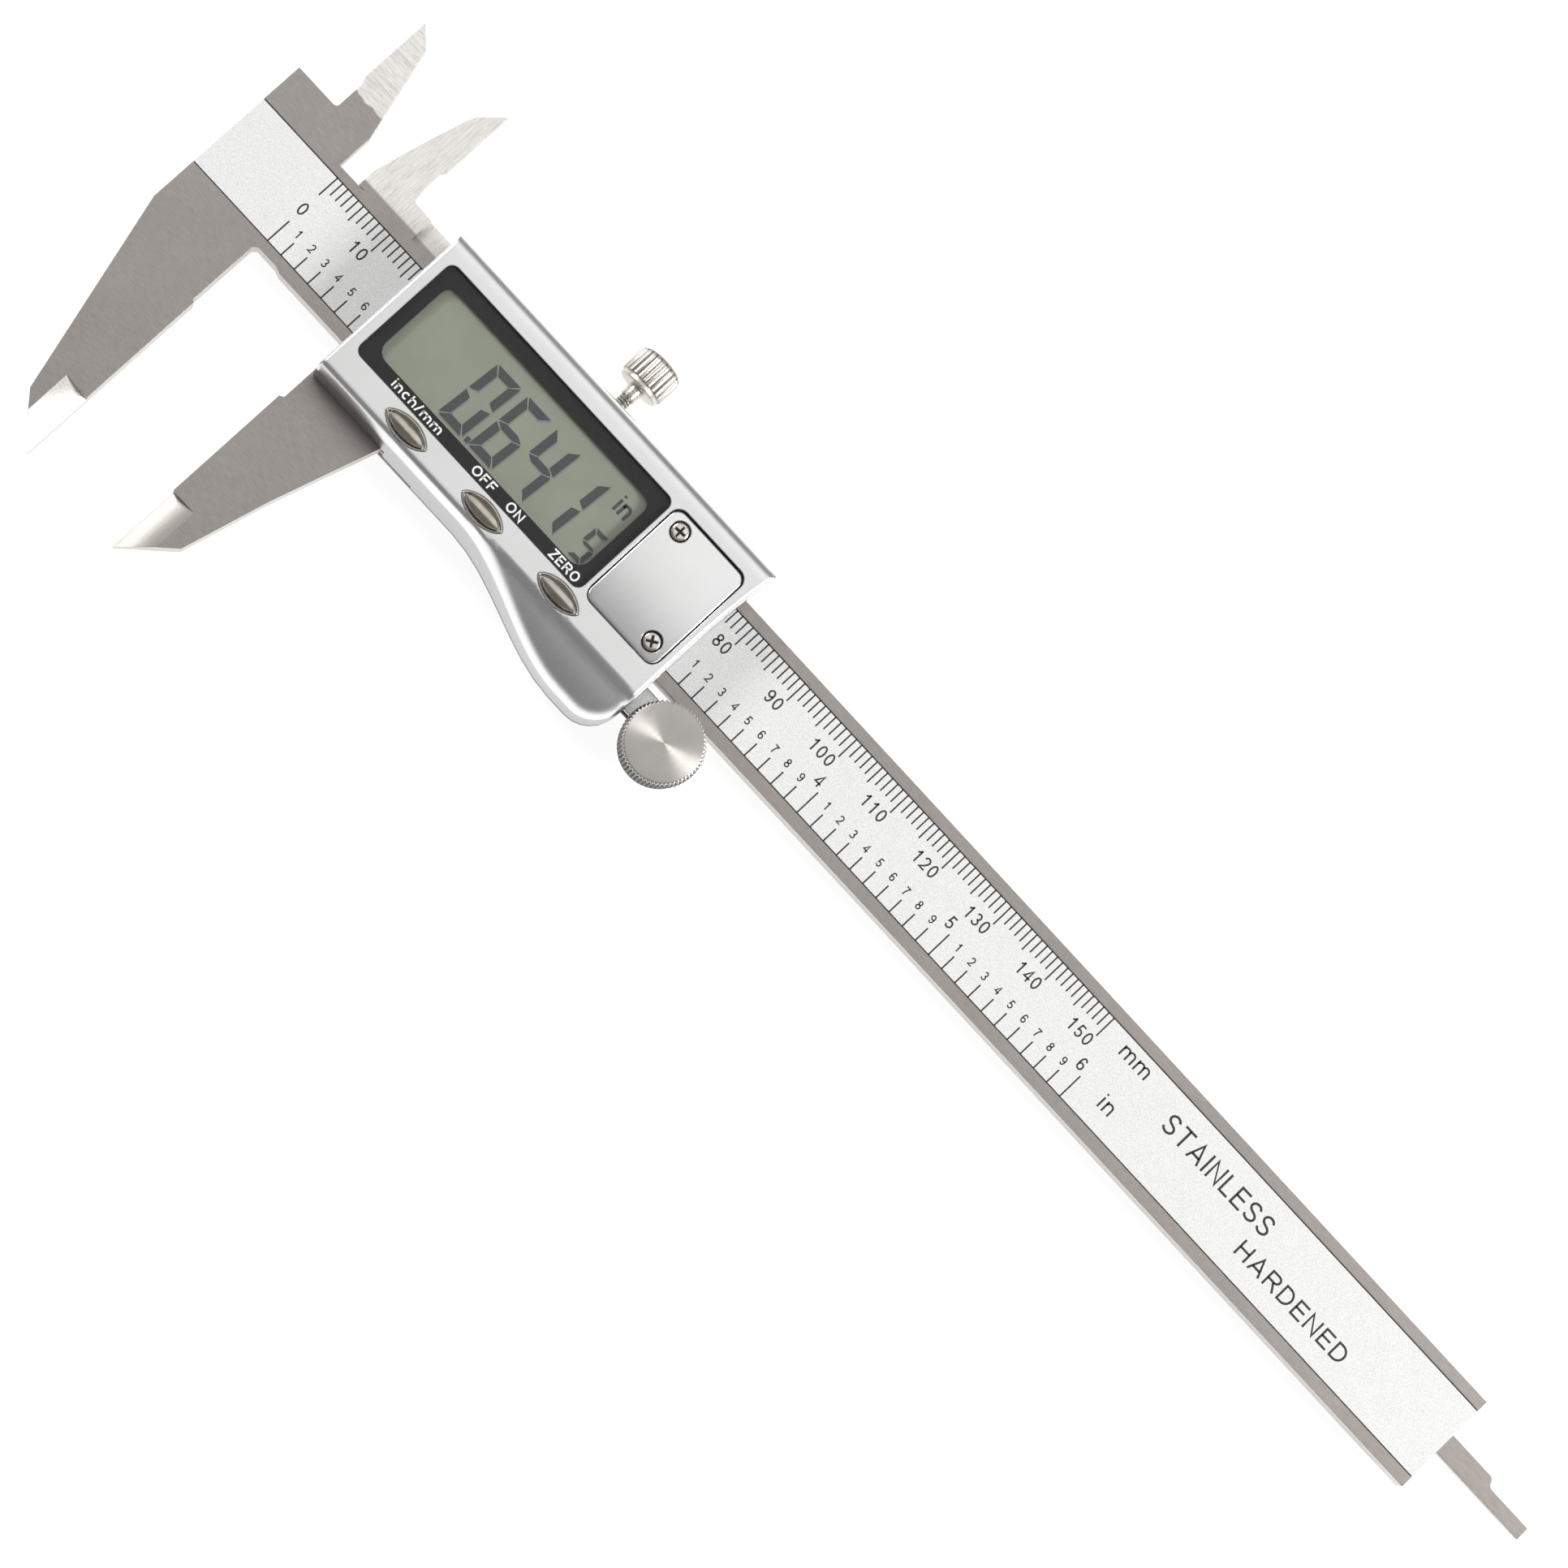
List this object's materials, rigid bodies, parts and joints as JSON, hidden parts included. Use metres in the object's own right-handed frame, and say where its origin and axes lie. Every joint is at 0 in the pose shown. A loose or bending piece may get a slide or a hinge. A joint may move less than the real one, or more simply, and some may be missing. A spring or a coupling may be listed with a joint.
{
  "type": "digital caliper",
  "caption": "Digital caliper with outside and inside jaws, sliding display body, lock screw, thumb roller, push buttons and depth rod.",
  "frame": {"origin": "centre of the fixed outside jaw's flat measuring face", "axes": "+X along the beam away from the fixed jaw, +Y towards the inside jaws, +Z out of the display"},
  "size_m": [0.2514, 0.0771, 0.0146],
  "materials": {
    "ground_steel": "ground and brushed",
    "scale_silver": "satin silver print",
    "board_green": "solder mask",
    "brass": "plain",
    "satin_chrome": "satin",
    "bright_nickel": "bright",
    "clear_plastic": "clear",
    "black_ink": "satin",
    "display_glass": "satin",
    "black_plastic": "fine grain",
    "dark_rubber": "matte",
    "galvanised_steel": "zinc plated",
    "turned_steel": "turned"
  },
  "bodies": {
    "rule": {"beam": "ground_steel", "scale_stator": "board_green", "scale_label": "scale_silver", "end_stop_plate": "galvanised_steel", "end_stop_screw_lower": "galvanised_steel", "end_stop_screw_upper": "galvanised_steel"},
    "slider": {"slider_frame": "ground_steel", "gib_screw_left": "turned_steel", "gib_screw_right": "turned_steel", "front_housing": "satin_chrome", "display_window": "clear_plastic", "window_mask": "black_ink", "lcd_panel": "display_glass", "lcd_frame": "black_plastic", "zebra_strip_lower": "dark_rubber", "zebra_strip_upper": "dark_rubber", "circuit_board": "board_green", "readout_chip": "black_plastic", "dome_switch_unit": "bright_nickel", "dome_switch_power": "bright_nickel", "dome_switch_zero": "bright_nickel", "battery_cell": "bright_nickel", "battery_cup": "black_plastic", "battery_contact_negative": "brass", "battery_contact_positive": "brass", "battery_cover": "satin_chrome", "battery_cover_screw_upper": "bright_nickel", "battery_cover_screw_lower": "bright_nickel", "back_cover": "satin_chrome", "back_cover_screw_upper_left": "galvanised_steel", "back_cover_screw_upper_right": "galvanised_steel", "back_cover_screw_lower_left": "galvanised_steel", "back_cover_screw_lower_right": "galvanised_steel", "depth_rod": "ground_steel", "depth_rod_pin": "turned_steel", "roller_bracket": "galvanised_steel", "roller_spring": "turned_steel", "roller_spacer": "brass", "roller_axle": "turned_steel", "bracket_rivet": "turned_steel"},
    "gib": {"gib_strip": "brass"},
    "lock": {"lock_screw": "bright_nickel"},
    "roller": {"thumb_roller": "turned_steel"},
    "key_unit": {"button_unit": "bright_nickel"},
    "key_power": {"button_power": "bright_nickel"},
    "key_zero": {"button_zero": "bright_nickel"}
  },
  "joints": [
    {"name": "slider_travel", "type": "slide", "parent": "rule", "child": "slider", "axis": [1, 0, 0], "range_m": [-0.01624, 0.13372]},
    {"name": "roller_spin", "type": "hinge", "parent": "slider", "child": "roller", "pos_m": [0.08338, 0.01465, 0.00175], "axis": [0, 0, 1], "range_deg": [-168.3, 1381.1]},
    {"name": "lock_turn", "type": "hinge", "parent": "slider", "child": "lock", "pos_m": [0.04688, 0.04025, 0], "axis": [0, -1, 0], "range_deg": [0, 90]},
    {"name": "gib_press", "type": "slide", "parent": "slider", "child": "gib", "axis": [0, -1, 0], "range_m": [0, 0.0001125]},
    {"name": "key_unit_press", "type": "slide", "parent": "slider", "child": "key_unit", "axis": [0, 0, -1], "range_m": [0, 0.0004], "stiffness_N_per_m": 400, "springref_m": -0.0004},
    {"name": "key_power_press", "type": "slide", "parent": "slider", "child": "key_power", "axis": [0, 0, -1], "range_m": [0, 0.0004], "stiffness_N_per_m": 400, "springref_m": -0.0004},
    {"name": "key_zero_press", "type": "slide", "parent": "slider", "child": "key_zero", "axis": [0, 0, -1], "range_m": [0, 0.0004], "stiffness_N_per_m": 400, "springref_m": -0.0004}
  ],
  "couplings": [
    {"joint": "roller_spin", "follows": "slider_travel", "rad_per_m": 180.18},
    {"joint": "lock_turn", "follows": "gib_press", "rad_per_m": 13963}
  ]
}
